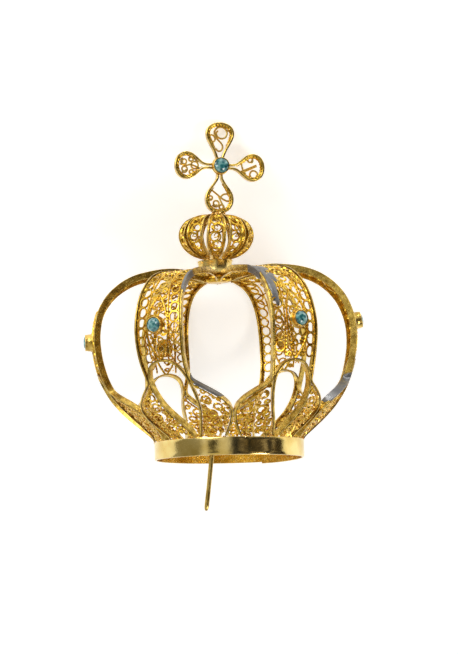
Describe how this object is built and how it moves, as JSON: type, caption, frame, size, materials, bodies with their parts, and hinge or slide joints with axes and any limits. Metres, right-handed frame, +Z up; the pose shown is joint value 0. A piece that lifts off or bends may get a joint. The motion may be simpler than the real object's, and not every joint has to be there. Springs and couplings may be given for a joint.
{
  "type": "statue crown",
  "caption": "Small gilt filigree crown for a statue, with a plain band, arches set with teal stones, an openwork orb and a cross of loops, lying on its side.",
  "frame": {"origin": "centre of the crown's bounding box at its underside, where it lies on the two back arches and the end of the cross", "axes": "+Y along the crown from band to cross, +Z up, the crown's front facing up"},
  "size_m": [0.0712, 0.0832, 0.0689],
  "materials": {
    "gold_band": "polished gilding",
    "gold_filigree": "gilt filigree, bright on the raised wires and darker in the depths",
    "gold_setting": "gilt bezel",
    "gold_pin": "gilt wire, slightly worn",
    "teal_stone": "polished cut stone"
  },
  "bodies": {
    "root": {"band": "gold_band", "arch_1": "gold_filigree", "arch_1_collet": "gold_setting", "arch_1_stone": "teal_stone", "arch_2": "gold_filigree", "arch_2_collet": "gold_setting", "arch_2_stone": "teal_stone", "arch_3": "gold_filigree", "arch_3_collet": "gold_setting", "arch_3_stone": "teal_stone", "arch_4": "gold_filigree", "arch_4_collet": "gold_setting", "arch_4_stone": "teal_stone", "arch_5": "gold_filigree", "arch_5_collet": "gold_setting", "arch_5_stone": "teal_stone", "arch_6": "gold_filigree", "arch_6_collet": "gold_setting", "arch_6_stone": "teal_stone", "hub": "gold_filigree", "collar": "gold_band", "orb_petal_1": "gold_filigree", "orb_petal_2": "gold_filigree", "orb_petal_3": "gold_filigree", "orb_petal_4": "gold_filigree", "orb_petal_5": "gold_filigree", "orb_petal_6": "gold_filigree", "orb_petal_7": "gold_filigree", "orb_petal_8": "gold_filigree", "orb_petal_9": "gold_filigree", "orb_petal_10": "gold_filigree", "cross_top": "gold_filigree", "cross_right": "gold_filigree", "cross_bottom": "gold_filigree", "cross_left": "gold_filigree", "cross_collet": "gold_setting", "cross_stone": "teal_stone", "pin": "gold_pin"}
  },
  "joints": []
}
